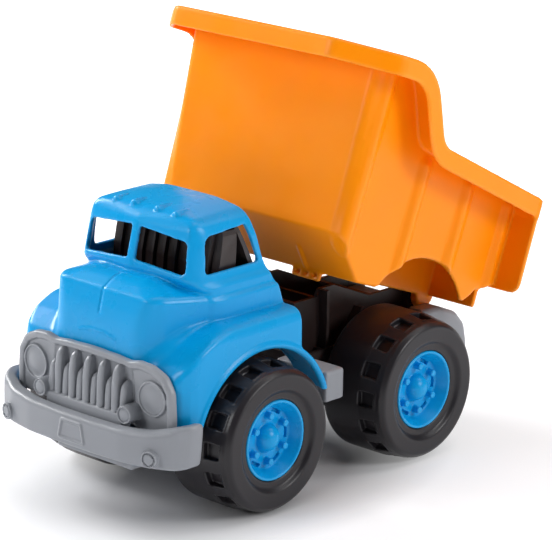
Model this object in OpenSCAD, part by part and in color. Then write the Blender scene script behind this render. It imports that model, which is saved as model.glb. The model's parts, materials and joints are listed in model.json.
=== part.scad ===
// Toy dump truck: a moulded cab on a tray chassis, four wide wheels on two
// turning axles, and a load bed that tips on two pins behind the rear axle.
// The front of the truck faces -Y, its left side is +X, and Z = 0 is the ground.
// Heights are measured from the ground, and lengths along the truck from the front axle.

/* [Wheels] */
// Distance between the two axles
wheelbase = 118; // [117:0.5:119]
// Tyre radius, which is also the axle height
tyre_r = 40; // [39.5:0.1:40]
// Tyre width
tyre_w = 42; // [40:0.5:42]
// Outer face of each tyre, from the middle of the truck
tyre_face_x = 75; // [74.5:0.1:75.5]
// Tread pockets round each tyre
tread_count = 15; // [9:1:18]
// Radius of the wheel disc at its rim
hub_r = 21; // [20:0.5:21]
// Axle radius
axle_r = 3.5; // [3:0.1:3.5]

/* [Cab] */
// Wall thickness of the cab shell
cab_wall = 2.6; // [2.2:0.1:3]
// Half width over the fenders
fender_x = 62.5; // [62:0.1:63]
// Inner radius of the front wheel arch
arch_r = 48; // [47:0.5:48.5]
// Radius of the headlamps
headlamp_r = 9.2; // [8.6:0.1:9.4]
// Upright fins in the grille, tall and short in turn from the middle
fin_count = 11; // [7:2:11]

/* [Load bed] */
// Wall thickness of the load bed
bed_wall = 2.6; // [2.2:0.1:3]
// Tilt of the load bed from its lowered position, as drawn
bed_tilt = 20; // [0:1:50]
// Half width over the rim flange
rim_x = 85; // [84:0.5:86]
// Depth of the rim's turned-down edge
rim_depth = 11; // [10:0.5:12]
// Radius of the bed's wheel arch
bed_arch_r = 43.5; // [43:0.1:44]

/* [Hidden] */
$fn = 64;

// Place of the front axle in the part's own frame, which is centred under the whole truck
front_axle_y = -61.9;
axle_z = tyre_r;
eps = 0.02;

// Tipping hinge
hinge_y = 165;
hinge_z = 74;
pin_r = 2.6;
pin_play = 0.05;
lug_r = 7;
lug_x = 26;
bore_end_wall = 1.2;
tower_x = 19;
tower_w = 6.5;
pin_x = 20;

// Load bed, in its lowered position
floor_z = 94.5;
bed_rear = 178;
bed_front_low = 38;
bed_front_high = 33;
rim_front = 4;
rim_z = 193.5;
rim_low = 120;
bed_arch = [118, 51.7];
well_x = 28.7;

// Cab
cab_rear = 27.5;
cab_front = -58.8;
arch_c = [2, 38];

// Chassis
tray_x = 28;
tray_z0 = 27;
tray_z1 = 46;
frame_z1 = 60;

orange = "orange";
blue = "deepskyblue";
grey = "silver";
black = [0.12, 0.11, 0.11];

// ---- placing and extruding ----

module on_truck() { translate([0, front_axle_y, 0]) children(); }

module on_bed() {
    on_truck()
        translate([0, hinge_y, hinge_z])
            rotate([-bed_tilt, 0, 0])
                translate([0, -hinge_y, -hinge_z])
                    children();
}

// A side view, drawn as (y, z), given a width along X
module across(width, at = 0) {
    translate([at, 0, 0]) rotate([90, 0, 90]) linear_extrude(height = width, center = true) children();
}

// A front view, drawn as (x, z), given a length from y0 to y1
module along(y0, y1) {
    translate([0, y1, 0]) rotate([90, 0, 0]) linear_extrude(height = y1 - y0) children();
}

module both_sides() {
    children();
    mirror([1, 0, 0]) children();
}

module round_out(r) { offset(r = r) offset(delta = -r) children(); }
module round_in(r) { offset(r = -r) offset(delta = r) children(); }

// A closed outline from points on its +X half, listed from bottom to top
module mirrored_outline(half) {
    n = len(half);
    polygon(concat(half, [for (i = [n - 1 : -1 : 0]) [-half[i][0], half[i][1]]]));
}

// ---- wheels ----

tyre_in = tyre_face_x - tyre_w;
pocket_w = 9;
pocket_l = 8;
pocket_deep = 3;

// Half section of the tyre as (radius, distance from its inner face): a moulded shell, open inside
module tyre_section() {
    polygon([
        [hub_r - 1.2, 2], [hub_r - 1.2, tyre_w - 5.5], [hub_r + 0.8, tyre_w - 5.5],
        [hub_r + 0.8, tyre_w - 3], [hub_r + 5, tyre_w - 3], [hub_r + 6.4, tyre_w - 0.6], [hub_r + 8, tyre_w],
        [tyre_r - 5, tyre_w], [tyre_r - 3, tyre_w - 0.7], [tyre_r - 1.8, tyre_w - 2.4],
        [tyre_r, tyre_w - 16], [tyre_r, 3], [tyre_r - 1, 1], [tyre_r - 3, 0],
        [tyre_r - 5.5, 0], [tyre_r - 5.5, tyre_w - 4], [hub_r + 2.4, tyre_w - 7.5], [hub_r + 2.4, 2]
    ]);
}

module tyre() {
    color(black) difference() {
        rotate_extrude($fn = 96) tyre_section();
        for (i = [0 : tread_count - 1])
            rotate([0, 0, i * 360 / tread_count])
                translate([tyre_r - pocket_deep, -pocket_l / 2, tyre_w - 16.6])
                    cube([pocket_deep + 2, pocket_l, pocket_w]);
    }
}

nut_count = 6;
nut_ring_r = 12;
slot_ring_r = 15.5;

module hub() {
    color(blue) difference() {
        union() {
            rotate_extrude() polygon([
                [0, 2], [axle_r + 3, 2], [axle_r + 3, tyre_w - 13], [hub_r - 4, tyre_w - 11],
                [hub_r - 1.4, tyre_w - 11], [hub_r - 1.4, tyre_w - 5.4], [hub_r, tyre_w - 5.4],
                [hub_r, tyre_w - 4],
                [hub_r - 1.6, tyre_w - 4], [hub_r - 4.6, tyre_w - 8], [7.4, tyre_w - 8],
                [7, tyre_w - 5.5], [5.2, tyre_w - 3.6], [2.6, tyre_w - 2.6], [0, tyre_w - 2.3]
            ]);
            for (i = [0 : nut_count - 1])
                rotate([0, 0, i * 360 / nut_count])
                    translate([nut_ring_r, 0, tyre_w - 9])
                        cylinder(r = 2.1, h = 4, $fn = 24);
        }
        translate([0, 0, -1]) cylinder(r = axle_r, h = tyre_w - 12);
        for (i = [0 : nut_count - 1])
            rotate([0, 0, (i + 0.5) * 360 / nut_count])
                translate([slot_ring_r - 0.7, -3, tyre_w - 9.5])
                    cube([1.4, 6, 4]);
    }
}

// A wheel part stands on its inner face, turned to face outwards on one side of the truck
module on_wheel(axle_y, side) {
    on_truck()
        translate([side * tyre_in, axle_y, axle_z])
            rotate([0, side * 90, 0])
                rotate([0, 0, side > 0 ? 0 : 180])
                    children();
}

module axle(axle_y) {
    half = tyre_in + tyre_w - 14;
    color(black) on_truck()
        translate([-half, axle_y, axle_z]) rotate([0, 90, 0]) cylinder(r = axle_r, h = 2 * half);
}

// ---- cab ----

module greenhouse_side() {
    round_out(3.5) polygon([
        [-37, 60], [-38, 118], [-37, 126], [-31, 150], [-25, 154.5], [-10, 157.8],
        [0, 158.6], [8, 158], [12, 154], [20.8, 127], [cab_rear, 115], [cab_rear, 60]
    ]);
}

module greenhouse_front() {
    round_out(4) mirrored_outline([
        [46, 60], [48, 108], [47.5, 111], [45.5, 116], [43, 121], [42.2, 126],
        [40.8, 143], [38.4, 152], [33, 155.4], [15, 157.8]
    ]);
}

module greenhouse_plan() {
    round_out(6) mirrored_outline([[0, -38], [36, -34.5], [43.5, -27], [48.5, -12], [48.5, cab_rear + 8]]);
}

module hood_side() {
    round_out(3) polygon([
        [-20, 60], [-20, 124], [-40, 124.4], [-47, 121], [-53, 117.4], [-55.4, 110],
        [-57, 101], [cab_front, 90], [cab_front, 60]
    ]);
}

module hood_front() {
    round_out(5) mirrored_outline([[40, 60], [40, 100], [39, 108], [37.5, 117], [33, 123.5], [15, 125]]);
}

module hood_plan() {
    round_out(8) mirrored_outline([[29, cab_front], [37, -49], [40.5, -38], [43, -10]]);
}

module fender_side() {
    round_out(6) polygon([
        [-58, 52], [-58, 78], [-54, 84], [-46.5, 92.5], [-38, 98.4], [-29, 102.2],
        [-18, 104], [cab_rear + 20, 104], [cab_rear + 20, 52]
    ]);
}

module fender_front() {
    round_out(7) mirrored_outline([[fender_x, 45], [fender_x, 97], [58, 103], [50, 104]]);
}

module fender_plan() {
    round_out(16) translate([-fender_x, cab_front]) square([2 * fender_x, 110]);
}

// The cab's outer form when inset is 0, and its hollow when inset is the wall thickness
module cab_form(inset) {
    intersection() {
        across(200) offset(delta = -inset) greenhouse_side();
        along(-100, 100) offset(delta = -inset) greenhouse_front();
        linear_extrude(height = 200) offset(delta = -inset) greenhouse_plan();
    }
    intersection() {
        across(200) offset(delta = -inset) hood_side();
        along(-100, 100) offset(delta = -inset) hood_front();
        linear_extrude(height = 200) offset(delta = -inset) hood_plan();
    }
    intersection() {
        across(200) offset(delta = -inset) fender_side();
        along(-100, 100) offset(delta = -inset) fender_front();
        linear_extrude(height = 200) offset(delta = -inset) fender_plan();
        translate([-100, -100, 0]) cube([200, 100 + cab_rear - inset, 200]);
    }
}

// One of the two windscreen panes, on the +X side
module pane() {
    round_out(2) polygon([[2.6, 129.3], [2.5, 146.2], [34.8, 143.2], [36.4, 126.5]]);
}

module side_window() {
    round_out(2.5) polygon([[-20.6, 145.2], [9.4, 147], [16.8, 126.2], [-21.6, 126]]);
}

// Raised teardrop marker on the roof, pointing back
module roof_marker() {
    linear_extrude(height = 3) hull() {
        circle(r = 2, $fn = 24);
        translate([0, 10.5]) circle(r = 0.6, $fn = 16);
    }
}

marker_tilt = 15;
marker_xs = [-22.5, -8.5, 8.5, 22.5];

module wheel_guard() {
    across(fender_x - 44, (fender_x + 44) / 2) intersection() {
        difference() {
            translate(arch_c) circle(r = arch_r + cab_wall);
            translate(arch_c) circle(r = arch_r);
        }
        translate([-60, 55]) square([120, 60]);
    }
}

module cab_shell() {
    color(blue) on_truck() difference() {
        union() {
            difference() {
                cab_form(0);
                cab_form(cab_wall);
                // The shell has no bottom, and its back is open inside a narrow rim
                translate([-fender_x + cab_wall, -58 + cab_wall, 40])
                    cube([2 * (fender_x - cab_wall), cab_rear + 58 - cab_wall, 15]);
                across(78) polygon([[cab_rear - 6, 50], [cab_rear - 6, 112], [2, 150], [40, 150], [40, 50]]);
                both_sides() across(60, 62) translate(arch_c) circle(r = arch_r);
            }
            both_sides() wheel_guard();
            for (x = marker_xs)
                translate([x, -24, 151]) rotate([marker_tilt, 0, 0]) roof_marker();
        }
        both_sides() along(-60, -20) pane();
        across(200) side_window();
        // Seat for the grille, and the space above the bumper ends
        translate([-80, -80, 30]) cube([160, 200, 22]);
    }
}

slat_pitch = 8;
panel_y = -10;

module cab_interior() {
    color(black) on_truck() {
        // Back wall, leaning forwards with the cab
        intersection() {
            across(77) polygon([
                [cab_rear - 5, 88], [cab_rear - 5, 113], [5, 149], [2.4, 149],
                [cab_rear - 8, 112], [cab_rear - 8, 88]
            ]);
            along(-100, 100) offset(delta = -cab_wall - 0.4) greenhouse_front();
        }
        // Ribbed panel behind the seat, with a flange down each side
        intersection() {
            union() {
                across(77) polygon([
                    [panel_y - 1, 88], [panel_y + 1.5, 126], [panel_y + 6, 148], [panel_y + 8.6, 148],
                    [panel_y + 4.1, 126], [panel_y + 1.6, 88]
                ]);
                both_sides() across(2.6, 37) polygon([
                    [panel_y + 1, 88], [panel_y + 3.5, 126], [panel_y + 7, 145], [panel_y + 15, 145],
                    [panel_y + 14, 126], [panel_y + 12, 88]
                ]);
            }
            along(-100, 100) offset(delta = -cab_wall - 0.4) greenhouse_front();
        }
        for (i = [-4 : 4])
            across(1.6, i * slat_pitch) polygon([
                [panel_y - 3.2, 92], [panel_y - 0.7, 126], [panel_y + 3.6, 146.5], [panel_y + 6, 147],
                [panel_y + 2.5, 126], [panel_y, 92]
            ]);
        // Floor and seat bench
        translate([-40, -44, 86]) cube([80, cab_rear + 39, 3]);
        translate([-36, panel_y - 14, 88]) cube([72, 15, 14]);
        // Dashboard
        across(58) polygon([[-47, 88], [-47, 112], [-36, 118], [-30, 118], [-30, 112], [-42, 104], [-42, 88]]);
        // Legs that stand on the chassis
        for (y = [-38, 22]) translate([1 - tray_x, y, tray_z1]) cube([2 * tray_x - 2, 4, 41]);
    }
}

// ---- grille and bumper ----

grille_y = -60.9;
grille_t = 2;
strip_w = 4;

module grille_outline() {
    round_out(5) mirrored_outline([[57, 40], [57.4, 62], [56.2, 76], [51, 83], [42, 87], [28, 87.4], [10, 88.5]]);
}

fin_pitch = 5.25;
fin_w = 3.8;
fin_z = 57;
fin_out = 6.2;

// Leans back towards its top, where it runs out into the grille
module fin(top) {
    across(fin_w) polygon([
        [grille_y + 0.5, fin_z], [grille_y - fin_out, fin_z], [grille_y - fin_out + 0.6, top - 11],
        [grille_y - fin_out + 2.6, top - 3], [grille_y - 2, top], [grille_y + 0.5, top]
    ]);
}

headlamp = [44.2, 69.8];
side_lamp = [31.2, 60.3];
side_lamp_r = 4.5;

module grille() {
    color(grey) on_truck() {
        difference() {
            union() {
                along(grille_y, grille_y + grille_t) grille_outline();
                // Raised border
                along(grille_y - 1.8, grille_y + 0.1) difference() {
                    grille_outline();
                    offset(delta = -strip_w) grille_outline();
                }
            }
            // The bumper and its ends pass below
            translate([-60, grille_y - 5, 30]) cube([120, 10, 22]);
            both_sides() translate([30, grille_y - 5, 30]) cube([30, 10, 29]);
            translate([-60, grille_y - 5, 30]) cube([120, 5, 25.5]);
        }
        for (i = [0 : fin_count - 1]) {
            place = i - (fin_count - 1) / 2;
            translate([place * fin_pitch, 0, 0]) fin(place % 2 == 0 ? 83 : 75.5);
        }
        // Sill below the fins
        translate([-28, grille_y - 7, 55.5]) cube([56, 7.1, 3.5]);
        // Headlamps and the small lamps beside them
        both_sides() {
            along(grille_y - 1.4, grille_y + 0.5) translate(headlamp) circle(r = headlamp_r);
            along(grille_y - 2.2, grille_y - 1.3) translate(headlamp) difference() {
                circle(r = headlamp_r);
                circle(r = headlamp_r - 1.2);
            }
            along(grille_y - 8.5, grille_y + 0.5) translate(side_lamp) circle(r = side_lamp_r);
        }
    }
}

bumper_z0 = 36;
bumper_front = -76;

// Half of the bumper's outer edge in plan, from the middle to the wrapped end
bumper_x = 69.5;
bumper_end = -49;
bumper_t = 7;
bumper_edge = [
    [14, bumper_front], [32, -75], [46, -72.6], [56, -69.2], [63, -65], [67.5, -59.5], [69.2, -54],
    [bumper_x, bumper_end]
];

module bumper_plan() {
    difference() {
        mirrored_outline(bumper_edge);
        offset(delta = -bumper_t) union() {
            mirrored_outline(bumper_edge);
            translate([-bumper_x, bumper_end]) square([2 * bumper_x, 30]);
        }
    }
}

module bumper_elevation() {
    round_out(4) mirrored_outline([
        [67, bumper_z0], [70.5, 62], [62, 59], [50, 56.5], [30, 55.2]
    ]);
}

module front_bumper() {
    color(grey) on_truck() {
        intersection() {
            linear_extrude(height = 100) round_out(2) bumper_plan();
            along(-90, -40) bumper_elevation();
            across(200) round_out(4) polygon([
                [bumper_front, bumper_z0], [bumper_front, 54.5], [-71, 61], [-40, 61], [-40, bumper_z0]
            ]);
        }
        // Number plate frame and the two round bosses
        along(bumper_front - 0.8, bumper_front + 1) difference() {
            polygon([[-10, 40], [10, 40], [7.5, 51], [-7.5, 51]]);
            offset(delta = -1.2) polygon([[-10, 40], [10, 40], [7.5, 51], [-7.5, 51]]);
        }
        both_sides() translate([52.6, -69, 42.8]) rotate([90, 0, 12]) cylinder(r = 4, h = 3.6);
        // Bracket plates that carry the bumper on the chassis
        both_sides() translate([14, -70, 38]) cube([10, 10, 7.5]);
    }
}

// ---- chassis ----

step_y0 = 50.5;
step_y1 = 65;
step_z0 = 45;
step_z1 = 62.5;
tray_front = -60;
tray_rear = 158;
tail_front = 150;
tail_x = 44;

module tail_side() {
    round_out(5) polygon([
        [tail_front, tray_z0], [tail_front, 72], [163, 71], [178, 65], [185.5, 57], [188.5, 46], [188.5, 34], [184, tray_z0]
    ]);
}

module chassis_tray() {
    color(grey) on_truck() difference() {
        union() {
            // Open-topped tray
            difference() {
                translate([-tray_x, tray_front, tray_z0])
                    cube([2 * tray_x, tray_rear - tray_front, tray_z1 - tray_z0]);
                translate([-tray_x + 3, tray_front + 3, tray_z0 + 3])
                    cube([2 * tray_x - 6, tray_rear - tray_front - 6, tray_z1]);
            }
            // Cross beam that ends in a step on each side
            difference() {
                translate([-61, step_y0, step_z0]) cube([122, step_y1 - step_y0, step_z1 - step_z0]);
                translate([-58.5, step_y0 + 2.5, step_z0 - 1])
                    cube([117, step_y1 - step_y0 - 5, step_z1 - step_z0 - 1.5]);
                translate([-tray_x + 3, step_y0 - 1, tray_z0 + 3])
                    cube([2 * tray_x - 6, step_y1 - step_y0 + 2, 60]);
            }
            // Rounded tail
            difference() {
                across(2 * tail_x) tail_side();
                across(2 * tail_x - 5) offset(delta = -2.6) union() {
                    tail_side();
                    translate([130, tray_z0]) square([40, 44]);
                }
                both_sides() across(40, tray_x + 21) translate([wheelbase, axle_z]) circle(r = tyre_r + 3);
            }
        }
        // Open slots for the axles
        for (y = [0, wheelbase]) {
            translate([-50, y, axle_z]) rotate([0, 90, 0]) cylinder(r = axle_r + 0.06, h = 100);
            translate([-50, y - axle_r - 0.06, axle_z]) cube([100, 2 * axle_r + 0.12, 30]);
        }
        // Notches for the hinge towers and the load bed's lugs
        both_sides() translate([tower_x - 1.4, tail_front - 1, 60])
            cube([well_x + bed_wall - tower_x + 2.2, 25, 20]);
    }
}

module axle_keeper(axle_y) {
    color(black) on_truck() difference() {
        translate([-tray_x, axle_y - axle_r, axle_z]) cube([2 * tray_x, 2 * axle_r, tray_z1 - axle_z]);
        translate([-50, axle_y, axle_z]) rotate([0, 90, 0]) cylinder(r = axle_r + 0.06, h = 100);
    }
}

rail_in = 20;
rail_front = 68;
rail_rear = 157;
rail_top = 88;

module frame_rail() {
    polygon([
        [rail_front, tray_z1], [rail_front, rail_top], [86, rail_top], [88.5, rail_top + 4],
        [100, rail_top + 4], [129, rail_top - 8], [rail_rear, rail_top - 8], [rail_rear, tray_z1]
    ]);
}

module inner_frame() {
    color(black) on_truck() difference() {
        union() {
            // Pan that closes the tray
            translate([-tray_x, step_y1 + 1, tray_z1]) cube([2 * tray_x, 90, 2.5]);
            translate([-24.5, 34, tray_z1]) cube([49, step_y1 - 32, 2.5]);
            both_sides() {
                translate([tray_x - 2.5, 66, tray_z1]) cube([2.5, 44, frame_z1 - tray_z1]);
                across(2.5, rail_in) frame_rail();
                // Upright rib and diagonal brace on the rail's outer face
                translate([rail_in, 88, tray_z1]) cube([7, 2, rail_top + 4 - tray_z1]);
                across(7, rail_in + 3.5) polygon([[116.5, 77], [119, 77], [104, 58], [101.5, 58]]);
                // Hinge towers
                across(tower_w, tower_x + tower_w / 2) union() {
                    translate([hinge_y, hinge_z]) circle(r = lug_r);
                    polygon([
                        [hinge_y - 12, tray_z1 + 1], [hinge_y - lug_r, hinge_z],
                        [hinge_y + lug_r, hinge_z], [hinge_y + 6, tray_z1 + 4], [hinge_y - 8, tray_z1 + 1]
                    ]);
                }
            }
            // Walls across the frame
            for (y = [66, 84, 110]) translate([-tray_x + 1, y, tray_z1]) cube([2 * tray_x - 2, 2.5, 14]);
            for (y = [rail_front, 84]) translate([-rail_in, y, tray_z1]) cube([2 * rail_in, 2.5, 42]);
            translate([-rail_in, 130, tray_z1]) cube([2 * rail_in, 2.5, 34]);
        }
        both_sides() translate([pin_x, hinge_y, hinge_z]) rotate([0, 90, 0]) cylinder(r = pin_r, h = 20);
    }
}

// ---- load bed ----

// Side view of everything under the bed's rim line
module under_rim() {
    intersection() {
        round_in(12) round_out(27) polygon([
            [-60, 40], [-60, rim_z], [61, rim_z], [84, 154.6], [260, 131.5], [260, 40]
        ]);
        translate([-40, 60]) square([bed_rear + 40, 150]);
    }
}

module bed_side() {
    intersection() {
        under_rim();
        round_out(2.5) polygon([
            [62, 73.7], [bed_front_low, 96], [bed_front_high - 1, 210], [bed_rear, 210], [bed_rear, 92],
            [171, 87.8], [163.5, 84.3], [161.5, 81.5], [156, 77.3], [120, 73.7]
        ]);
    }
}

module bed_plan(inset) {
    offset(delta = -inset) round_out(5) polygon([
        [-60, 28], [60, 28], [67, 40], [67, 200], [-67, 200], [-67, 40]
    ]);
}

module bed_elevation(inset) {
    mirrored_outline([[64.5 - inset, 60], [68.5 - inset, 210]]);
}

module rim_plan(inset) {
    offset(delta = -inset) round_out(9) polygon([
        [-57, rim_front], [57, rim_front], [rim_x, rim_front + 28], [rim_x, bed_rear + 30],
        [-rim_x, bed_rear + 30], [-rim_x, rim_front + 28]
    ]);
}

module rim() {
    difference() {
        intersection() {
            across(200) difference() {
                under_rim();
                offset(delta = -rim_depth) union() {
                    under_rim();
                    translate([-60, 20]) square([80, rim_z - 20]);
                    translate([bed_rear - 20, 20]) square([80, 121]);
                }
            }
            linear_extrude(height = 220) rim_plan(0);
            translate([-100, 0, rim_low]) cube([200, bed_rear, 120]);
        }
        // Hollow underneath
        intersection() {
            across(200) offset(delta = -bed_wall) union() {
                under_rim();
                translate([-60, 20]) square([80, rim_z - 20]);
            }
            linear_extrude(height = 220) rim_plan(bed_wall);
        }
        // Open over the load space
        intersection() {
            translate([-100, bed_front_high + bed_wall - 1, 90]) cube([200, 200, 200]);
            linear_extrude(height = 300) bed_plan(bed_wall);
            along(0, 300) bed_elevation(bed_wall);
        }
    }
}

// Half-round upright ribs on the sides, as (y, height of the top)
ribs = [[92, 145], [133, 140], [170, 134]];
rib_r = 6;
rib_proud = 2.2;
bed_draft = atan2(4, 150);

module bed_ribs() {
    intersection() {
        for (rib = ribs)
            translate([64.5 + rib_proud - rib_r, rib[0], 60]) rotate([0, bed_draft, 0])
                cylinder(r = rib_r, h = rib[1] - 60);
        across(200) bed_side();
    }
}

module dump_body() {
    color(orange) on_bed() {
        difference() {
            union() {
                intersection() {
                    across(200) bed_side();
                    along(0, 300) bed_elevation(0);
                    linear_extrude(height = 300) bed_plan(0);
                }
                both_sides() bed_ribs();
            }
            // Load space, open above and behind
            intersection() {
                across(200) polygon([
                    [bed_front_low + bed_wall, floor_z + bed_wall], [bed_front_high + bed_wall - 2, 230],
                    [260, 230], [260, floor_z + bed_wall]
                ]);
                along(0, 300) bed_elevation(bed_wall);
                linear_extrude(height = 300) bed_plan(bed_wall);
            }
            // Underside
            intersection() {
                across(200) polygon([
                    [62 + bed_wall, 60], [62 + bed_wall, 73.7], [bed_front_low + 6, floor_z],
                    [bed_rear - bed_wall, floor_z], [bed_rear - bed_wall, 60]
                ]);
                along(0, 300) bed_elevation(bed_wall);
            }
            both_sides() across(60, 70) translate(bed_arch) circle(r = bed_arch_r);
        }
        rim();
        both_sides() {
            // Slotted tab under the front edge
            difference() {
                translate([20, 61, 69]) cube([20, bed_wall, 8]);
                for (x = [24, 30, 36]) translate([x - 1.5, 60, 71]) cube([3, 5, 2]);
            }
            // Flange down the rear edge
            translate([0, bed_rear - bed_wall, 0]) along(0, bed_wall) round_out(5) polygon([
                [62, 88], [rim_x - 2, 88], [rim_x, 140], [62, 140]
            ]);
            // Rear wall of the wheel well
            translate([well_x + 1.8, hinge_y + 1, hinge_z + 1]) cube([33, bed_wall, floor_z - hinge_z]);
            // Inner wall of the wheel well, thickened into a hinge lug with a blind bore
            difference() {
                union() {
                    across(bed_wall, well_x + bed_wall / 2) polygon([
                        [60, 74.2], [50, 84], [50, floor_z + 1], [hinge_y + lug_r, floor_z + 1],
                        [hinge_y + lug_r, hinge_z], [hinge_y - lug_r - 4, 74.2]
                    ]);
                    across(well_x + bed_wall - lug_x, (well_x + bed_wall + lug_x) / 2) union() {
                        translate([hinge_y, hinge_z]) circle(r = lug_r);
                        translate([hinge_y - lug_r, hinge_z]) square([2 * lug_r, floor_z + 1 - hinge_z]);
                    }
                }
                translate([lug_x - 1, hinge_y, hinge_z]) rotate([0, 90, 0])
                    cylinder(r = pin_r + pin_play, h = well_x + bed_wall - bore_end_wall - lug_x + 1);
            }
        }
    }
}

module hinge_pin() {
    color(black) on_truck() translate([pin_x, hinge_y, hinge_z]) rotate([0, 90, 0])
        cylinder(r = pin_r, h = well_x + bed_wall - bore_end_wall - pin_x - 0.3);
}

cab_shell();
cab_interior();
grille();
front_bumper();
chassis_tray();
inner_frame();
axle_keeper(0);  // axle_keeper_front
axle_keeper(wheelbase);  // axle_keeper_rear
axle(0);  // front_axle
axle(wheelbase);  // rear_axle
on_wheel(0, 1) tyre();  // tire_front_left
on_wheel(0, -1) tyre();  // tire_front_right
on_wheel(wheelbase, 1) tyre();  // tire_rear_left
on_wheel(wheelbase, -1) tyre();  // tire_rear_right
on_wheel(0, 1) hub();  // hub_front_left
on_wheel(0, -1) hub();  // hub_front_right
on_wheel(wheelbase, 1) hub();  // hub_rear_left
on_wheel(wheelbase, -1) hub();  // hub_rear_right
dump_body();
hinge_pin();  // hinge_pin_left
mirror([1, 0, 0]) hinge_pin();  // hinge_pin_right
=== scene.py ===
"""Looks for the toy dump truck. Lengths are millimetres in the truck's own frame:
x is its left, y runs back from the front axle, z is the height above the ground."""

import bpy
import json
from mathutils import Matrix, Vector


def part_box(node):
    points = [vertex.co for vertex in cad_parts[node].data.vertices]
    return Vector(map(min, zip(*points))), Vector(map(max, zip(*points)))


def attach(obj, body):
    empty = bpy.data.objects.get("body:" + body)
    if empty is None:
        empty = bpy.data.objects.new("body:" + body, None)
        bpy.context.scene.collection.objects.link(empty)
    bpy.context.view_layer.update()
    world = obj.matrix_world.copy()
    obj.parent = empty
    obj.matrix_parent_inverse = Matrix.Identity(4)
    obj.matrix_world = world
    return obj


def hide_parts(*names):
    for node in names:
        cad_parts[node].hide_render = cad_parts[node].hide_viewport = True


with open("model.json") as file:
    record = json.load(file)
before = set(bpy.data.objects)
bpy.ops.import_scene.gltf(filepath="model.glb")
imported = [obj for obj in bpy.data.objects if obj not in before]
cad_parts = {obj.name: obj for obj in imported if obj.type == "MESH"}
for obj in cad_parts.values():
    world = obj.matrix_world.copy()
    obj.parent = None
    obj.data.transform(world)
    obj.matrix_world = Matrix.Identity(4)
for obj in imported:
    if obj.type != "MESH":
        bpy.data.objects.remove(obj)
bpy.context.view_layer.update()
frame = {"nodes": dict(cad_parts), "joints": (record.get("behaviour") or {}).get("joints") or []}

import copy
import json
import math

import bpy
import numpy as np
from mathutils import Matrix, Vector

MM = 0.001


def middle(node):
    """The middle of a CAD node's box, in millimetres."""
    low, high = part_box(node)
    return (low + high) / 2 / MM


FRONT_Y = middle("front_axle").y
AXLE_Z = middle("front_axle").z
REAR_Y = middle("rear_axle").y - FRONT_Y
TYRE_LOW, TYRE_HIGH = (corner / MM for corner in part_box("tire_front_left"))
TYRE_R = (TYRE_HIGH.z - TYRE_LOW.z) / 2
TYRE_X = TYRE_LOW.x
TYRE_W = TYRE_HIGH.x - TYRE_LOW.x
TILT = next(j for j in frame["joints"] if j["name"] == "bed_tilt")
HINGE_Y = TILT["pos_m"][1] / MM - FRONT_Y
HINGE_Z = TILT["pos_m"][2] / MM
BED_TILT = math.radians(-TILT["range_deg"][0])

TO_PART = Matrix.Translation((0, FRONT_Y * MM, 0)) @ Matrix.Scale(MM, 4)
TO_BED = (
    TO_PART
    @ Matrix.Translation((0, HINGE_Y, HINGE_Z))
    @ Matrix.Rotation(-BED_TILT, 4, "X")
    @ Matrix.Translation((0, -HINGE_Y, -HINGE_Z))
)


# ---- camera ----

AZIMUTH, ELEVATION, ROLL = (math.radians(a) for a in (42.7633, 16.2803, 1.0129))
CAMERA_AT = Vector((1066.6, -1077.2, 559.5))
LENS = 197.04
SENSOR = 36


def make_camera():
    back = Vector((
        math.sin(AZIMUTH) * math.cos(ELEVATION),
        -math.cos(AZIMUTH) * math.cos(ELEVATION),
        math.sin(ELEVATION),
    ))
    right = Vector((math.cos(AZIMUTH), math.sin(AZIMUTH), 0))
    up = back.cross(right)
    rolled_right = right * math.cos(ROLL) + up * math.sin(ROLL)
    rolled_up = up * math.cos(ROLL) - right * math.sin(ROLL)
    data = bpy.data.cameras.new("camera")
    data.sensor_width = SENSOR
    data.lens = LENS
    data.clip_end = 20
    camera = bpy.data.objects.new("camera", data)
    place = Matrix((rolled_right, rolled_up, back)).transposed().to_4x4()
    place.translation = TO_PART @ CAMERA_AT
    camera.matrix_world = place
    bpy.context.scene.collection.objects.link(camera)
    bpy.context.scene.camera = camera


# ---- solid shapes as distance fields, turned into meshes ----

class Space:
    """The points of a box-shaped grid, as three arrays that broadcast against each other."""

    def __init__(self, low, high, step):
        self.low, self.step = np.array(low, float), step
        spans = [np.arange(l, h + step, step, dtype=np.float32) for l, h in zip(low, high)]
        self.x = spans[0].reshape(-1, 1, 1)
        self.y = spans[1].reshape(1, -1, 1)
        self.z = spans[2].reshape(1, 1, -1)
        self.ax = np.abs(self.x)


ARC_POINTS = 7


def outline(*points):
    """A closed outline. A point's third number rounds that corner with an arc of that radius."""
    corners, count = [], len(points)
    for i, point in enumerate(points):
        here = np.array(point[:2], float)
        if len(point) == 2:
            corners.append(here)
            continue
        before = np.array(points[i - 1][:2], float) - here
        after = np.array(points[(i + 1) % count][:2], float) - here
        room = 0.49 * min(np.linalg.norm(before), np.linalg.norm(after))
        before, after = before / np.linalg.norm(before), after / np.linalg.norm(after)
        half = math.acos(np.clip(before @ after, -1, 1)) / 2
        radius = min(point[2], room * math.tan(half))
        centre = here + (before + after) / np.linalg.norm(before + after) * radius / math.sin(half)
        start = here + before * radius / math.tan(half) - centre
        end = here + after * radius / math.tan(half) - centre
        a0 = math.atan2(start[1], start[0])
        sweep = (math.atan2(end[1], end[0]) - a0 + math.pi) % math.tau - math.pi
        for t in np.linspace(0, 1, ARC_POINTS):
            a = a0 + sweep * t
            corners.append(centre + radius * np.array([math.cos(a), math.sin(a)]))
    return corners


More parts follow.
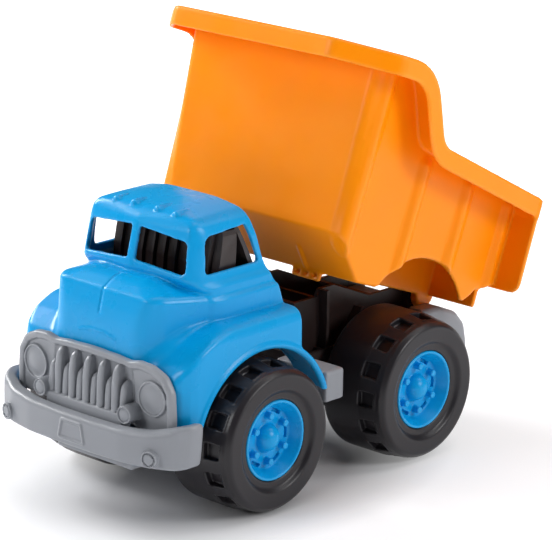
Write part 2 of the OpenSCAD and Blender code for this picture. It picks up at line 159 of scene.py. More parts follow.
def flat(points, u, v):
    """Signed distance to a closed outline drawn over u and v, negative inside."""
    u, v = np.broadcast_arrays(u, v)
    nearest = np.full(u.shape, 1e9, np.float32)
    inside = np.zeros(u.shape, bool)
    for (au, av), (bu, bv) in zip(points, points[1:] + points[:1]):
        du, dv = bu - au, bv - av
        t = np.clip(((u - au) * du + (v - av) * dv) / max(du * du + dv * dv, 1e-9), 0, 1)
        nearest = np.minimum(nearest, (u - au - t * du) ** 2 + (v - av - t * dv) ** 2)
        if av != bv:
            inside ^= ((av > v) != (bv > v)) & (u < au + (v - av) * du / dv)
    return np.where(inside, -1, 1) * np.sqrt(nearest)


def both(r, *fields):
    """What lies in every field, with its edges rounded to radius r."""
    result = fields[0]
    for field in fields[1:]:
        corner = np.hypot(np.maximum(result + r, 0), np.maximum(field + r, 0))
        result = np.minimum(-r, np.maximum(result, field)) + corner
    return result


def either(r, *fields):
    """What lies in any field, with its inner corners filled to radius r."""
    return -both(r, *(-f for f in fields))


def less(r, solid, *cuts):
    """The solid without the cuts, with the new edges rounded to radius r."""
    for cut in cuts:
        solid = both(r, solid, -cut)
    return solid


def slab(u, low, high):
    """What lies between two parallel planes, or between any two levels of a field."""
    return np.abs(u - (low + high) / 2) - (high - low) / 2


def block(s, r, x, y, z):
    """A box with every edge rounded. Each span is (low, high), and x is measured outwards from the middle."""
    q = [slab(s.ax, *x) + r, slab(s.y, *y) + r, slab(s.z, *z) + r]
    outside = np.sqrt(sum(np.maximum(c, 0) ** 2 for c in q))
    return outside + np.minimum(np.maximum(np.maximum(q[0], q[1]), q[2]), 0) - r


def disc(u, v, u0, v0, r):
    return np.hypot(u - u0, v - v0) - r


def capsule(s, a, b, r0, r1):
    """A tapered rod from a to b, on both sides of the middle plane."""
    a, b = np.array(a, float), np.array(b, float)
    d = b - a
    x, y, z = s.ax - a[0], s.y - a[1], s.z - a[2]
    t = np.clip((x * d[0] + y * d[1] + z * d[2]) / (d @ d), 0, 1)
    away = np.sqrt((x - t * d[0]) ** 2 + (y - t * d[1]) ** 2 + (z - t * d[2]) ** 2)
    return away - (r0 + (r1 - r0) * t)


CORNERS = [(i, j, k) for i in (0, 1) for j in (0, 1) for k in (0, 1)]
EDGES = [
    (a, b) for a in range(8) for b in range(a + 1, 8)
    if sum(abs(np.subtract(CORNERS[a], CORNERS[b]))) == 1
]
PASSES = 3
PULL = 0.8
REACH = 0.45


def sample(field, points):
    """The field's value and slope at points given in grid steps."""
    cell = np.clip(np.floor(points).astype(int), 0, np.array(field.shape) - 2)
    t = points - cell
    value, slope = np.zeros(len(points)), np.zeros((len(points), 3))
    for corner in CORNERS:
        at = field[tuple((cell + corner).T)].astype(float)
        w = np.where(np.array(corner) == 1, t, 1 - t)
        value += at * w.prod(1)
        for axis in range(3):
            rest = [w[:, i] for i in range(3) if i != axis]
            slope[:, axis] += at * rest[0] * rest[1] * (1 if corner[axis] else -1)
    return value, slope


def skin(field):
    """Surface nets: a point in every cell that the surface crosses, and a face over every crossed edge."""
    inside = field < 0
    shape = tuple(n - 1 for n in field.shape)
    count = sum(
        inside[i:i + shape[0], j:j + shape[1], k:k + shape[2]].astype(np.int8) for i, j, k in CORNERS
    )
    cells = np.argwhere((count > 0) & (count < 8))
    number = np.full(shape, -1, np.int32)
    number[tuple(cells.T)] = np.arange(len(cells))
    values = [field[tuple((cells + c).T)].astype(float) for c in CORNERS]
    total, hits = np.zeros((len(cells), 3)), np.zeros(len(cells))
    for a, b in EDGES:
        crossed = (values[a] < 0) != (values[b] < 0)
        t = values[a][crossed] / (values[a][crossed] - values[b][crossed])
        total[crossed] += np.array(CORNERS[a]) + t[:, None] * np.subtract(CORNERS[b], CORNERS[a])
        hits[crossed] += 1
    points = cells + total / hits[:, None]
    start = points.copy()
    # Each point is pulled onto the surface, but stays near its own cell
    for _ in range(PASSES):
        value, slope = sample(field, points)
        step = value[:, None] * slope / np.maximum((slope ** 2).sum(1), 0.05)[:, None]
        points = start + np.clip(points - PULL * step - start, -REACH, REACH)
    faces = []
    for axis in range(3):
        other = [(axis + 1) % 3, (axis + 2) % 3]
        low = [slice(None)] * 3
        high = [slice(None)] * 3
        low[axis], high[axis] = slice(0, -1), slice(1, None)
        for o in other:
            low[o] = high[o] = slice(1, -1)
        first, second = inside[tuple(low)], inside[tuple(high)]
        at = np.argwhere(first != second)
        out = first[tuple(at.T)]
        for o in other:
            at[:, o] += 1
        ring = []
        for du, dv in ((-1, -1), (0, -1), (0, 0), (-1, 0)):
            cell = at.copy()
            cell[:, other[0]] += du
            cell[:, other[1]] += dv
            ring.append(number[tuple(cell.T)])
        quad = np.stack(ring, 1)
        quad[~out] = quad[~out][:, ::-1]
        faces.append(quad)
    return points, np.concatenate(faces)


FINE = 1.0


def solid(name, low, high, step, shape, place):
    """A mesh of the shape, with normals taken from the field so that broad faces shade evenly."""
    step *= FINE
    space = Space(low, high, step)
    size = (space.x.size, space.y.size, space.z.size)
    field = np.ascontiguousarray(np.broadcast_to(shape(space), size).astype(np.float32))
    points, faces = skin(field)
    _, slope = sample(field, points)
    mesh = bpy.data.meshes.new(name)
    mesh.vertices.add(len(points))
    mesh.vertices.foreach_set("co", (space.low + points * step).astype(np.float32).ravel())
    mesh.loops.add(faces.size)
    mesh.loops.foreach_set("vertex_index", faces.astype(np.int32).ravel())
    mesh.polygons.add(len(faces))
    mesh.polygons.foreach_set("loop_start", np.arange(0, faces.size, 4, dtype=np.int32))
    mesh.polygons.foreach_set("loop_total", np.full(len(faces), 4, np.int32))
    mesh.update(calc_edges=True)
    mesh.validate()
    mesh.polygons.foreach_set("use_smooth", np.ones(len(mesh.polygons), bool))
    normals = slope / np.maximum(np.linalg.norm(slope, axis=1), 1e-9)[:, None]
    mesh.normals_split_custom_set_from_vertices([tuple(n) for n in normals])
    mesh.transform(place)
    made = bpy.data.objects.new(name, mesh)
    bpy.context.scene.collection.objects.link(made)
    return made


# ---- cab ----

WALL = 2.6
CAB_FRONT = -58.8
FENDER_X = 62.5
FENDER_TOP = 104
HOOD_TOP = 124.6
ROOF_TOP = 158.6
ARCH_Y, ARCH_Z, ARCH_R = 2, 38, 48
WINDSCREEN = outline((2.8, 129.3, 1.5), (2.7, 146.3, 1.5), (34.8, 143.3, 3), (36.4, 126.5, 2.5))
SIDE_WINDOW = outline((-20.6, 145.2, 5), (9.6, 147, 1.5), (17.4, 126.2, 1.5), (-21.6, 126, 2.8))
ROOF_MARKERS = (8.65, 21.7)
MARKER_R = 2.3
# Front view of the door: a ledge under the belt, and a softer roll above it
BODY_SIDE = (
    (49.2, 60), (49, FENDER_TOP), (48.9, 113.8), (45.9, 115, 1), (45.6, 119.4, 1.5), (43, 122.8, 2),
)
# How far the windscreen leans back for each millimetre of height, from its sill up
PILLAR_LEAN = 0.24
SILL = 124


def cab_form(s):
    """The cab's outer form: an upright house, a narrower hood and a wide pair of fenders."""
    lean = PILLAR_LEAN * np.maximum(s.z - SILL, 0)
    house = both(
        3.5,
        flat(outline(
            (-22, 100), (-22, 116), (-38, 124.6, 1), (-37, 126.5, 2), (-30.8, 150, 6), (-22, 155.6, 12),
            (0, ROOF_TOP, 20), (40, ROOF_TOP), (40, 100),
        ), s.y, s.z),
        flat(outline(
            (-20, 60), *BODY_SIDE, (42.3, 126), (41.2, 141, 6), (37.6, 153.6, 13), (16, 158.2, 40),
            (-20, ROOF_TOP),
        ), s.ax, s.z),
        flat(outline(
            (-20, -36.8), (0, -36.6), (36, -33, 6), (43, -25.5, 8), (47.8, -12, 20), (49.2, 60), (-20, 60),
        ), s.ax, s.y - lean),
    )
    hood = both(
        3.2,
        flat(outline(
            (40, 60), (40, HOOD_TOP), (-40, 124.4, 3), (-47, 121.2, 12), (-53.6, 117.4, 3.5),
            (-55.6, 109, 20), (-57.6, 100), (CAB_FRONT, 88), (CAB_FRONT, 60),
        ), s.y, s.z),
        flat(outline((-20, 60), *BODY_SIDE, (41, HOOD_TOP, 3), (-20, 125)), s.ax, s.z),
        flat(outline(
            (-20, CAB_FRONT), (29, CAB_FRONT, 12), (37.6, -47.5, 12), (42.6, -29, 30), (48.8, -4, 40),
            (49, 60), (-20, 60),
        ), s.ax, s.y),
        # The hood's top falls away to each side
        (s.z - HOOD_TOP + 0.35 * np.maximum(s.ax - 18, 0)) / 1.06,
    )
    fender = both(
        3,
        flat(outline(
            (CAB_FRONT, 50), (CAB_FRONT, 77, 6), (-53, 85.8, 10), (-44, 93, 14), (-33, 99, 16),
            (-20, 102.8, 20), (0, FENDER_TOP), (60, FENDER_TOP), (60, 50),
        ), s.y, s.z),
        flat(outline((-20, 40), (FENDER_X, 40), (FENDER_X, 103.4, 10), (-20, 104.2)), s.ax, s.z),
        flat(outline(
            (-20, CAB_FRONT), (FENDER_X, CAB_FRONT, 17), (FENDER_X, 60), (-20, 60),
        ), s.ax, s.y),
    )
    # The crease over the fender is crisp at the door and fades out towards the nose
    blend = 0.5 + 5.5 * np.clip((-12 - s.y) / 30, 0, 1)
    return either(blend, either(2, house, hood), fender)


def cab(s):
    """The cab shell, with its openings, the guards over the front wheels and the roof markers."""
    form = cab_form(s)
    # A thin line down the hood, and a low arched crease above the grille
    groove = np.exp(-(s.x / 0.55) ** 2) * ((s.z > 104) & (s.y < -41))
    arc = s.z - 95.7 + 2.2 * (s.x / 14) ** 2
    crease = np.exp(-(arc / 0.6) ** 2) * ((s.y < -50) & (s.ax < 14))
    front = form + 0.8 * groove - 0.9 * crease
    shell = less(0.7, front, form + WALL)
    rear = flat(outline(
        (-100, 30), (-100, 170), (8, 170), (12.4, 154.6, 3), (20.6, 127, 6), (24.3, 118, 4),
        (26.8, 113.6), (30.4, 103), (30.8, 85), (31, 30),
    ), s.y, s.z)
    arch = both(0.1, disc(s.y, s.z, ARCH_Y, ARCH_Z, ARCH_R), 34 - s.ax)
    shell = both(0.8, shell, rear)
    shell = less(
        0.7, shell,
        both(0.1, flat(WINDSCREEN, s.ax, s.z), s.y + 20),
        both(0.1, flat(SIDE_WINDOW, s.y, s.z), 20 - s.ax),
        arch,
        s.z - 52,
    )
    away = disc(s.y, s.z, ARCH_Y, ARCH_Z, 0)
    guard = both(0.6, slab(away, ARCH_R, ARCH_R + WALL), slab(s.ax, 44, 61.5), 55 - s.z)
    lip = both(0.6, np.hypot(away - ARCH_R - 1.7, s.ax - 61.1) - 1.75, 54 - s.z)
    solid_parts = either(1.2, either(0.3, shell, guard), lip)
    for x in ROOF_MARKERS:
        drop = 0.5 * (x > 10)
        marker = capsule(s, (x, -22.4, 154.8 - drop), (x, -14.4, 156.4 - drop), MARKER_R, 0.5)
        solid_parts = either(0.3, solid_parts, marker)
    return solid_parts


# ---- load bed, in its lowered position ----

BED_REAR = 178
FLOOR_TOP = 97.1
BED_ARCH = (118, 51.7, 43.5)
# Each upright rib's place along the bed, and the height of its top
RIBS = ((44, 188), (91.5, 142.5), (132.5, 138), (172, 133))
RIB_R = 5
RIB_OUT = 2.5
BED_X = 64.5
SIDE_LEAN = 4.2 / 160
TAB_HOLES = (24, 30, 36)
LUG_R = 7
PIN_R = 2.66
RIM_X = 84.6
RIM_DEPTH = 11
WELL_X = 28.7


def bed(s):
    """The bed: a tub, a broad rim that steps down to the tail, ribs, wheel arches and hinge lugs."""
    line = flat(outline(
        (-60, 40), (-60, 193.4), (60.5, 193.8, 29), (82.5, 154.9, 13), (260, 131.6), (260, 40),
    ), s.y, s.z)
    side = flat(outline(
        (62, 73.7, 2), (38, 96.3, 2), (33, 174), (31, 215), (BED_REAR, 215), (BED_REAR, 92, 3),
        (171, 87.8, 3), (163.5, 84.3, 2), (161.5, 81.5, 3), (156.5, 77.2, 2), (150, 76.6), (112, 73.7),
    ), s.y, s.z)
    wide = flat(outline((-20, 55), (64.4, 55), (68.6, 215), (-20, 215)), s.ax, s.z)
    corner = (s.ax - s.y - 22.4 - 0.114 * (s.z - 96)) / math.sqrt(2)
    body = both(1.6, side, wide, corner)
    for y, top in RIBS:
        x = BED_X + RIB_OUT - RIB_R
        rib = capsule(s, (x, y, 60), (x + SIDE_LEAN * (top - 60), y, top), RIB_R, RIB_R)
        body = either(2, body, both(1, rib, side))
    body = both(0.3, body, line)
    space = both(
        2.5,
        flat(outline(
            (40.6, FLOOR_TOP, 4), (35.6, 174), (34, 260), (320, 260), (320, FLOOR_TOP),
        ), s.y, s.z),
        wide + WALL, corner + WALL,
    )
    under = both(
        1.5,
        flat(outline(
            (65.5, 50), (65.5, 73.7), (44.5, 94.5), (BED_REAR - WALL, 94.5), (BED_REAR - WALL, 50),
        ), s.y, s.z),
        wide + WALL, corner + WALL,
    )
    body = less(0.8, body, under, both(0.1, disc(s.y, s.z, *BED_ARCH), 36 - s.ax))
    plan = flat(outline((-20, 4), (57, 4, 9), (RIM_X, 32, 9), (RIM_X, 320), (-20, 320)), s.ax, s.y)
    rim = both(1.7, line, plan, s.y - BED_REAR)
    rim = less(0.9, rim, line + RIM_DEPTH)
    rim = less(1.2, rim, both(1.2, line + WALL, plan + WALL, s.y - BED_REAR + WALL))
    rim = both(0.3, rim, 120 - s.z)
    flange = both(
        0.9,
        slab(s.y, BED_REAR - WALL, BED_REAR),
        flat(outline((60, 88), (84.2, 88, 6), (RIM_X, 141), (60, 141)), s.ax, s.z),
    )
    shell = less(0.8, either(1.2, either(1.5, body, rim), flange), space)
    rail = both(0.6, slab(s.ax, WELL_X, WELL_X + WALL), flat(outline(
        (60, 74.2), (50, 84), (50, 96), (HINGE_Y + LUG_R, 96), (HINGE_Y + LUG_R, HINGE_Z),
        (HINGE_Y - 11, 74.2),
    ), s.y, s.z))
    back = slab(s.y, HINGE_Y + 1, HINGE_Y + 1 + WALL)
    well = both(0.6, slab(s.ax, WELL_X + 1, 64), back, slab(s.z, 75, 96))
    lug_side = either(
        0.1,
        disc(s.y, s.z, HINGE_Y, HINGE_Z, LUG_R),
        both(0.1, slab(s.y, HINGE_Y - LUG_R, HINGE_Y + LUG_R), slab(s.z, HINGE_Z, 96)),
    )
    lug = both(0.6, slab(s.ax, WELL_X - 2.7, WELL_X + WALL), lug_side)
    tab = block(s, 0.6, (20, 40), (61, 63.8), (69, 78))
    for x in TAB_HOLES:
        tab = less(0.2, tab, both(0.1, slab(s.ax, x - 1.6, x + 1.6), slab(s.z, 71, 73), s.y - 62.4))
    shell = either(0.8, shell, rail, well, lug, tab)
    bore = both(0.1, disc(s.y, s.z, HINGE_Y, HINGE_Z, PIN_R), s.ax - WELL_X - WALL + 1.2)
    return less(0.1, shell, bore)


# ---- grille and bumper ----

GRILLE_Y = -60.9
GRILLE_BEND = 0.00075
# Each lamp's x, z and radius
LAMP = (43, 69.7, 9.3)
SMALL_LAMP = (31.2, 60.3, 4.7)
FIN_PITCH = 5.25
# Half width, height of the top, and how far the front stands back, of each kind of fin
TALL_FIN = (2.25, 83.4, 0)
SHORT_FIN = (2.1, 75.8, 0.4)


def lamp(s, x, z, r, y, lip):
    """A round lamp on a barrel: a raised rim, a groove inside it and a low dome."""
    away = disc(s.ax, s.z, x, z, 0)
    barrel = both(0.5, away - r, slab(s.y, y, GRILLE_Y + 1))
    recess = both(0.2, away - (r - lip), s.y - y - 1.1)
    bulge = 2.4 * r
    dome = np.sqrt(away ** 2 + (s.y - y - 0.1 - bulge) ** 2) - bulge
    lens = both(0.3, dome, away - (r - lip - 0.7), s.y - GRILLE_Y - 1)
    return either(0.15, less(0.4, barrel, recess), lens)


def grille(s):
    """The grille plate with its rolled border, a row of fins in a shallow bowl, a sill and the lamps."""
    # The sides bend back with the fenders
    s = copy.copy(s)
    s.y = s.y - GRILLE_BEND * s.ax ** 2
    edge = flat(outline(
        (-20, 30), (57, 30), (57.4, 62), (56.6, 75, 8), (51.5, 83, 8), (43, 86.8, 10), (34, 87.7, 8),
        (27, 86.3, 8), (18, 87.3, 10), (-20, 88.5),
    ), s.ax, s.z)
    border = both(0.5, edge, slab(s.y, GRILLE_Y, GRILLE_Y + 2))
    strip = both(0.3, slab(edge, -4.4, 0), s.y - GRILLE_Y - 1)
    # The border is a thick round strip
    strip = both(0.8, strip, np.hypot((edge + 2.2) * 0.8, s.y - GRILLE_Y) - 2.1)
    bowl_edge = flat(outline(
        (-20, 50), (29.5, 50), (30.2, 68, 6), (28, 83.4, 4), (-20, 84.4),
    ), s.ax, s.z)
    bowl = both(1, bowl_edge, slab(s.y, GRILLE_Y - 6, GRILLE_Y + 0.9))
    shape = less(1, either(0.5, border, strip), bowl)
    for i in range(6):
        half, top, back = SHORT_FIN if i % 2 else TALL_FIN
        side = flat(outline(
            (GRILLE_Y + 2, 55), (GRILLE_Y - 6.4 + back, 55), (GRILLE_Y - 5.9 + back, top - 10, 8),
            (GRILLE_Y - 4.6, top - 2.2, 4), (GRILLE_Y - 1.8, top, 3), (GRILLE_Y + 2, top),
        ), s.y, s.z)
        narrow = 0.08 * np.maximum(s.z - top + 6, 0)
        fin = both(1.7, side, slab(s.ax, i * FIN_PITCH - half, i * FIN_PITCH + half) + narrow)
        shape = either(0.3, shape, fin)
    sill = block(s, 0.9, (-28, 28), (GRILLE_Y - 7.2, GRILLE_Y), (51.5, 59.2))
    shape = both(0.4, shape, 52 - s.z)
    lamps = lamp(s, *LAMP, GRILLE_Y - 1.9, 1.1), lamp(s, *SMALL_LAMP, GRILLE_Y - 9.4, 0.8)
    return either(0.4, shape, sill, *lamps)


BUMPER_FRONT = -76
BOSS_AT = (52.4, -71.3, 42.7)
BOSS_R = 4.5
BOSS_TURN = math.radians(14)


def bumper(s):
    """A hollow bumper that wraps round the nose, with a raised frame and two ringed bosses."""
    plan = flat(outline(
        (-20, BUMPER_FRONT), (14, BUMPER_FRONT), (34, -75, 40), (50, -71.8, 30), (63, -65.5, 10),
        (69, -56, 10), (69.4, 20), (-20, 20),
    ), s.ax, s.y)
    face = flat(outline(
        (-20, 36), (66.6, 36, 4), (70.6, 61, 3), (62, 59.4, 20), (50, 56.8, 20), (28, 55.2), (-20, 54.8),
    ), s.ax, s.z)
    side = flat(outline(
        (BUMPER_FRONT - 2, 36), (BUMPER_FRONT - 2, 53.2), (-68, 56.6), (-60, 62), (-30, 66), (-30, 36),
    ), s.y, s.z)
    shape = both(2.6, plan, face, side, s.y + 48.6)
    shape = less(2, shape, plan + 7)
    frame_edge = flat(outline((-30, 40), (10.2, 40, 1.5), (7.6, 51.4, 1.5), (-30, 51.4)), s.ax, s.z)
    plate = both(0.3, slab(frame_edge, -1.4, 0), slab(s.y, BUMPER_FRONT - 0.8, BUMPER_FRONT + 1))
    shape = either(0.4, shape, plate)
    x, y, z = s.ax - BOSS_AT[0], s.y - BOSS_AT[1], s.z - BOSS_AT[2]
    along = -x * math.sin(BOSS_TURN) + y * math.cos(BOSS_TURN)
    away = np.hypot(x * math.cos(BOSS_TURN) + y * math.sin(BOSS_TURN), z)
    ring = both(0.2, slab(away, 2.8, 3.6), along + 0.6)
    boss = less(0.2, both(0.5, away - BOSS_R, slab(along, -1.9, 4)), ring)
    shape = either(0.4, shape, boss)
    return either(0.6, shape, block(s, 0.5, (14, 24), (-70, -60), (38, 45.5)))


# ---- wheels, on their side with the outer face up ----

TREAD_COUNT = 15
TREAD_TURN = math.radians(4)
POCKET_DEPTH = 3.6
HUB_R = 21
NUT_COUNT = 6
NUTS_AT, NUT_R = 12.4, 1.9
DOME_R = 7.4
SOCKET_R = 3.55


def around(s, count, shift):
    """The angle from the nearest of a ring of evenly spaced directions."""
    step = math.tau / count
    return (np.arctan2(s.y, s.x) + shift * step) % step - step / 2


def tyre(s):
    """A hollow tyre with a stepped sidewall and a ring of pockets along its outer shoulder."""
    r = np.hypot(s.x, s.y)
    w = TYRE_W
    section = flat(outline(
        (HUB_R - 1, 2), (HUB_R - 1, w - 5.6), (HUB_R + 0.7, w - 5.6), (HUB_R + 0.7, w - 2.8, 0.5),
        (HUB_R + 4.4, w - 2.4, 2), (HUB_R + 6.6, w - 0.2, 2), (TYRE_R - 4.4, w, 2),
        (TYRE_R - 2.2, w - 2.6, 2), (TYRE_R, w - 15, 3), (TYRE_R, 0, 3), (TYRE_R - 5.5, 0),
        (TYRE_R - 5.5, w - 5), (HUB_R + 2.2, w - 8.5), (HUB_R + 2.2, 2),
    ), r, s.z)
    tangent = around(s, TREAD_COUNT, 0.5 - TREAD_TURN * TREAD_COUNT / math.tau) * TYRE_R
    pocket = both(0.4, slab(tangent, -4.3, 4.3), slab(s.z, w - 16, w - 6.4), TYRE_R - POCKET_DEPTH - r)
    # A raised edge round each pocket
    top = TYRE_R - 0.35 - 0.12 * np.maximum(s.z - w + 15, 0)
    lip = both(0.4, slab(tangent, -5.6, 5.6), slab(s.z, w - 17.4, w - 5), slab(r, TYRE_R - 3, top))
    return less(0.35, either(0.3, section, lip), pocket)


def hub(s):
    """A dished wheel centre with a dome, a ring of nuts and a slot between each pair."""
    r = np.hypot(s.x, s.y)
    w = TYRE_W
    section = flat(outline(
        (-5, 2), (6.5, 2), (6.5, w - 13.5), (HUB_R - 3.6, w - 13.5), (HUB_R - 1.2, w - 12),
        (HUB_R - 1.2, w - 5.2), (HUB_R + 0.6, w - 5.2), (HUB_R + 0.6, w - 2.6, 0.6),
        (HUB_R - 0.9, w - 2.6, 0.6), (HUB_R - 4.4, w - 9.6, 1.5), (8.5, w - 9.8, 1.5), (-5, w - 9.8),
    ), r, s.z)
    dome = both(1, np.hypot(r, (s.z - (w - 9.6)) * 1.08) - DOME_R, w - 12 - s.z)
    shape = either(0.9, section, dome)
    turn = around(s, NUT_COUNT, 0.5)
    away = disc(r * np.cos(turn), r * np.sin(turn), NUTS_AT, 0, NUT_R)
    shape = either(0.3, shape, both(0.5, away, slab(s.z, w - 12, w - 5.2)))
    turn = around(s, NUT_COUNT, 0)
    slot = both(0.3, slab(r, 14.0, 15.9), slab(r * np.sin(turn), -3.4, 3.4), w - 12 - s.z)
    shape = less(0.3, shape, slot)
    # The socket for the axle, from behind
    return less(0.1, shape, both(0.1, r - SOCKET_R, s.z - w + 14.2))


# ---- chassis tray ----

AXLE_SLOT = 3.6


def tray(s):
    """The chassis: a long tray, a step across it behind the cab, and a hollow rounded tail."""
    trough = block(s, 1, (-25, 25), (-57, 155), (30, 80))
    body = less(1.2, block(s, 1, (-28, 28), (-60, 158), (27, 46)), trough)
    step = block(s, 1.6, (-61, 61), (50.5, 65), (45, 62.5))
    step = less(0.8, step, both(0.5, slab(s.ax, -9, 58.6), slab(s.y, 53, 62.6), s.z - 60))
    step = less(0.3, step, both(0.1, s.ax - 25, s.z - 90))
    profile = flat(outline(
        (150, 27), (150, 71.8), (164, 71, 8), (178.5, 65, 8), (186, 57, 8), (188.6, 46, 8),
        (188.4, 27, 7),
    ), s.y, s.z)
    hollow = both(0.8, profile + WALL, s.ax - 41.4)
    inner = both(0.8, slab(s.y, 130, 160), slab(s.z, 29.6, 69), s.ax - 41.4)
    tail = less(0.8, both(3, profile, s.ax - 44), hollow, inner)
    wheel = both(0.1, disc(s.y, s.z, REAR_Y, AXLE_Z, TYRE_R + 3), 29 - s.ax)
    tail = less(0.6, tail, wheel)
    shape = either(0.8, body, step, tail)
    lug_room = both(0.1, slab(s.y, 149, 174), 60 - s.z, slab(s.ax, 17.6, 32.1))
    shape = less(0.4, shape, lug_room)
    for y in (0, REAR_Y):
        above = both(0.1, slab(s.y, y - AXLE_SLOT, y + AXLE_SLOT), AXLE_Z - s.z)
        shape = less(0.1, shape, either(0.1, disc(s.y, s.z, y, AXLE_Z, AXLE_SLOT), above))
    return shape


# ---- materials ----

# Noise scale and detail of each layer, in cycles per metre
CLOUDS, SMEARS, PEBBLES = (18, 3), (60, 5), (1400, 2)
PLASTIC_IOR = 1.46


def plastic(name, colour, deep, roughness, shine=0.5, grain=0.02, glow=0.0, radius=(1, 1, 1)):
    """Moulded plastic: clouds of a deeper tone, edges painted paler as a highlight, a fine grain and slightly
    uneven gloss.
    """
    material = bpy.data.materials.new(name)
    material.use_nodes = True
    nodes, links = material.node_tree.nodes, material.node_tree.links
    shader = nodes["Principled BSDF"]
    place = nodes.new("ShaderNodeTexCoord")

    def noise(scale, detail):
        node = nodes.new("ShaderNodeTexNoise")
        node.inputs["Scale"].default_value = scale
        node.inputs["Detail"].default_value = detail
        links.new(place.outputs["Object"], node.inputs["Vector"])
        return node.outputs["Fac"]

    def ramp(source, low, high, start, end):
        node = nodes.new("ShaderNodeMapRange")
        for key, value in (("From Min", low), ("From Max", high), ("To Min", start), ("To Max", end)):
            node.inputs[key].default_value = value
        links.new(source, node.inputs["Value"])
        return node.outputs["Result"]

    clouds, smears, pebbles = noise(*CLOUDS), noise(*SMEARS), noise(*PEBBLES)
    mix = nodes.new("ShaderNodeMix")
    mix.data_type = "RGBA"
    mix.inputs["A"].default_value = (*colour, 1)
    mix.inputs["B"].default_value = (*deep, 1)
    links.new(ramp(clouds, 0.4, 0.75, 0, 0.35), mix.inputs["Factor"])
    # Edges are painted a little paler, a painted highlight along them, patchy with the smears
    edge_highlight = nodes.new("ShaderNodeMix")
    edge_highlight.data_type = "RGBA"
    links.new(mix.outputs["Result"], edge_highlight.inputs["A"])
    edge_highlight.inputs["B"].default_value = (*[min(1, 0.06 + 1.15 * c) for c in colour], 1)
    shape = nodes.new("ShaderNodeNewGeometry")
    edge_highlight_amount = nodes.new("ShaderNodeMath")
    edge_highlight_amount.operation = "MULTIPLY"
    links.new(ramp(shape.outputs["Pointiness"], 0.51, 0.6, 0, 0.7), edge_highlight_amount.inputs[0])
    links.new(ramp(smears, 0.35, 0.6, 0.3, 1), edge_highlight_amount.inputs[1])
    links.new(edge_highlight_amount.outputs["Value"], edge_highlight.inputs["Factor"])
    links.new(edge_highlight.outputs["Result"], shader.inputs["Base Color"])
    links.new(ramp(smears, 0.3, 0.7, roughness - 0.05, roughness + 0.06), shader.inputs["Roughness"])
    bump = nodes.new("ShaderNodeBump")
    bump.inputs["Strength"].default_value = 0.25
    bump.inputs["Distance"].default_value = grain * MM
    links.new(pebbles, bump.inputs["Height"])
    links.new(bump.outputs["Normal"], shader.inputs["Normal"])
    shader.inputs["IOR"].default_value = PLASTIC_IOR
    shader.inputs["Specular IOR Level"].default_value = shine
    if glow:
        shader.inputs["Subsurface Weight"].default_value = glow
        shader.inputs["Subsurface Radius"].default_value = radius
        shader.inputs["Subsurface Scale"].default_value = 0.004
    return material


BLUE = plastic("blue_plastic", (0.0, 0.325, 0.7), (0.0, 0.28, 0.63), 0.28, shine=0.28)
ORANGE = plastic(
    "orange_plastic", (0.98, 0.275, 0.0), (0.95, 0.235, 0.0), 0.36, shine=0.22, glow=0.08,
    radius=(1.0, 0.2, 0.02),
)
GREY = plastic("grey_plastic", (0.255, 0.268, 0.295), (0.225, 0.237, 0.262), 0.36, shine=0.45)
BLACK = plastic("black_plastic", (0.020, 0.012, 0.011), (0.013, 0.008, 0.008), 0.35, shine=0.4)
TYRE = plastic("tyre_black", (0.016, 0.014, 0.017), (0.011, 0.009, 0.012), 0.36, shine=0.4, grain=0.03)


# ---- making ----

def dress(made, material, body, slot, *nodes):
    """Gives a piece its material and the body it moves with, and hides the nodes it replaces. The slot
    argument is not used.
    """
    made.data.materials.append(material)
    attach(made, body)
    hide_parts(*nodes)
    return made


# Name, lowest and highest corner, grid step, shape, place, material, body, slot and replaced node
MOULDINGS = (
    ("cab_moulding", (-66, -62, 48), (66, 54, 162), 0.9, cab, TO_PART,
     BLUE, "chassis", "blue_plastic", "cab_shell"),
    ("bed_moulding", (-88, 0, 63), (88, 182, 198), 1.35, bed, TO_BED,
     ORANGE, "load_bed", "orange_plastic", "dump_body"),
    ("grille_moulding", (-60, -73, 48), (60, -57, 93), 0.6, grille, TO_PART,
     GREY, "chassis", "grey_plastic", "grille"),
    ("bumper_moulding", (-72, -80, 33), (72, -46, 64), 0.7, bumper, TO_PART,
     GREY, "chassis", "grey_plastic", "front_bumper"),
    ("tray_moulding", (-63, -63, 24), (63, 191, 75), 1.3, tray, TO_PART,
     GREY, "chassis", "grey_plastic", "chassis_tray"),
)


def make_pieces():
    for row in MOULDINGS:
        dress(solid(*row[:6]), *row[6:])


def make_wheels():
    """One tyre and one hub, copied to the four corners with their outer faces outwards."""
    half, reach = TYRE_R + 2, HUB_R + 3
    rubber = solid("tyre_shape", (-half, -half, -2), (half, half, TYRE_W + 2), 0.9, tyre, Matrix())
    centre = solid("hub_shape", (-reach, -reach, 0), (reach, reach, TYRE_W), 0.7, hub, Matrix())
    for axle, y in (("front", 0), ("rear", REAR_Y)):
        for side, sign in (("left", 1), ("right", -1)):
            face = Matrix.Rotation(math.radians(90 * sign), 4, "Y")
            turn = Matrix.Rotation(math.radians(0 if sign > 0 else 180), 4, "Z")
            place = TO_PART @ Matrix.Translation((sign * TYRE_X, y, AXLE_Z)) @ face @ turn
            for kind, shape, material, slot in (
                ("tire", rubber, TYRE, "tyre_black"), ("hub", centre, BLUE, "blue_plastic"),
            ):
                made = bpy.data.objects.new(f"{kind}_{axle}_{side}_moulding", shape.data.copy())
                made.data.transform(place)
                bpy.context.scene.collection.objects.link(made)
                dress(made, material, f"{axle}_wheels", slot, f"{kind}_{axle}_{side}")
    for shape in (rubber, centre):
        bpy.data.objects.remove(shape)


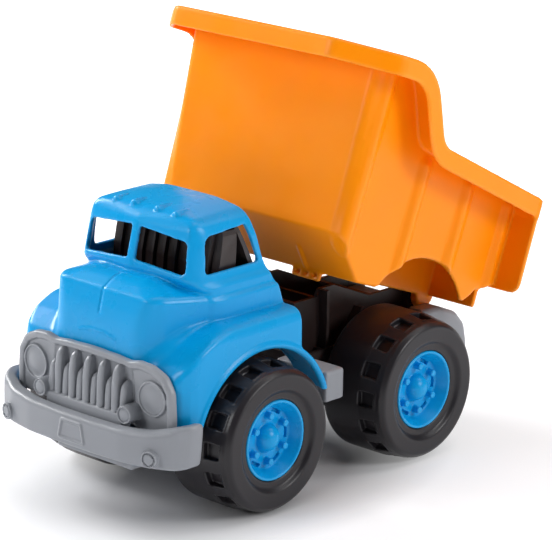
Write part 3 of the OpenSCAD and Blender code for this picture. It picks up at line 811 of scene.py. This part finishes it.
def finish_cad_nodes():
    """Gives the CAD pieces that stay their plastic, and softens their moulded edges."""
    for made in frame["nodes"].values():
        if made.hide_render:
            continue
        made.data.materials.clear()
        made.data.materials.append(BLACK)
        edge = made.modifiers.new("edge", "BEVEL")
        edge.width = 0.5 * MM
        edge.segments = 2
        edge.limit_method = "ANGLE"
        edge.angle_limit = math.radians(40)


# ---- studio ----

PAPER = (0.62, 0.62, 0.64, 1)
PAPER_R = 12
# The paper's glow, painted light in two steps: (start, end, strength), by distance from the middle of its
# dark patch, a painted shadow under the truck
GLOWS = ((0.046, 0.092, 0.5), (0.15, 0.9, 0.55))
WORLD_LIGHT = 0.1
AIM = Vector((0, 0, 0.1))
# Name, place in metres, side in metres and power in watts
SOFTBOXES = (
    ("top", (0.1, 0.25, 1.5), 0.9, 6),
    ("front_left", (-0.5, -1.5, 0.9), 0.6, 11.5),
    ("right", (1.5, 0.5, 0.9), 0.6, 13.5),
    ("back", (0.9, 1.0, 1.6), 0.6, 5),
    ("left", (-1.5, -0.2, 0.9), 0.6, 27),
)


def make_studio():
    """White paper under the truck that glows as painted light round a painted shadow, a dim white world and
    five softboxes.
    """
    scene = bpy.context.scene
    scene.view_settings.view_transform = "Standard"
    world = bpy.data.worlds.new("studio")
    world.use_nodes = True
    world.node_tree.nodes["Background"].inputs["Color"].default_value = (1, 1, 1, 1)
    world.node_tree.nodes["Background"].inputs["Strength"].default_value = WORLD_LIGHT
    scene.world = world

    mesh = bpy.data.meshes.new("floor")
    angles = np.linspace(0, math.tau, 48, endpoint=False)
    ring = [(PAPER_R * math.cos(a), PAPER_R * math.sin(a), 0) for a in angles]
    mesh.from_pydata(ring, [], [range(len(ring))])
    floor = bpy.data.objects.new("floor", mesh)
    material = bpy.data.materials.new("floor_paper")
    material.use_nodes = True
    nodes, links = material.node_tree.nodes, material.node_tree.links
    shader = nodes["Principled BSDF"]
    shader.inputs["Base Color"].default_value = PAPER
    shader.inputs["Roughness"].default_value = 0.7
    shader.inputs["Emission Color"].default_value = (1, 1, 1, 1)
    place = nodes.new("ShaderNodeTexCoord")
    # The paper glows a little as painted light, except in a long patch under the truck that is a painted
    # shadow
    painted_shadow_patch = nodes.new("ShaderNodeMapping")
    painted_shadow_patch.inputs["Location"].default_value = (-0.02, 0.024, 0)
    painted_shadow_patch.inputs["Scale"].default_value = (1, 0.6, 1)
    links.new(place.outputs["Object"], painted_shadow_patch.inputs["Vector"])
    away = nodes.new("ShaderNodeVectorMath")
    away.operation = "LENGTH"
    links.new(painted_shadow_patch.outputs["Vector"], away.inputs[0])
    total = nodes.new("ShaderNodeMath")
    total.operation = "ADD"
    for i, (near, far, strength) in enumerate(GLOWS):
        glow = nodes.new("ShaderNodeMapRange")
        span = (("From Min", near), ("From Max", far), ("To Min", 0.0), ("To Max", strength))
        for key, value in span:
            glow.inputs[key].default_value = value
        links.new(away.outputs["Value"], glow.inputs["Value"])
        links.new(glow.outputs["Result"], total.inputs[i])
    links.new(total.outputs["Value"], shader.inputs["Emission Strength"])
    mesh.materials.append(material)
    scene.collection.objects.link(floor)

    for name, at, side, power in SOFTBOXES:
        data = bpy.data.lights.new(name, "AREA")
        data.shape = "RECTANGLE"
        data.size = data.size_y = side
        data.energy = power
        light = bpy.data.objects.new(name, data)
        light.location = at
        light.rotation_euler = (AIM - light.location).to_track_quat("-Z", "Y").to_euler()
        scene.collection.objects.link(light)


make_camera()
make_pieces()
make_wheels()
finish_cad_nodes()
make_studio()
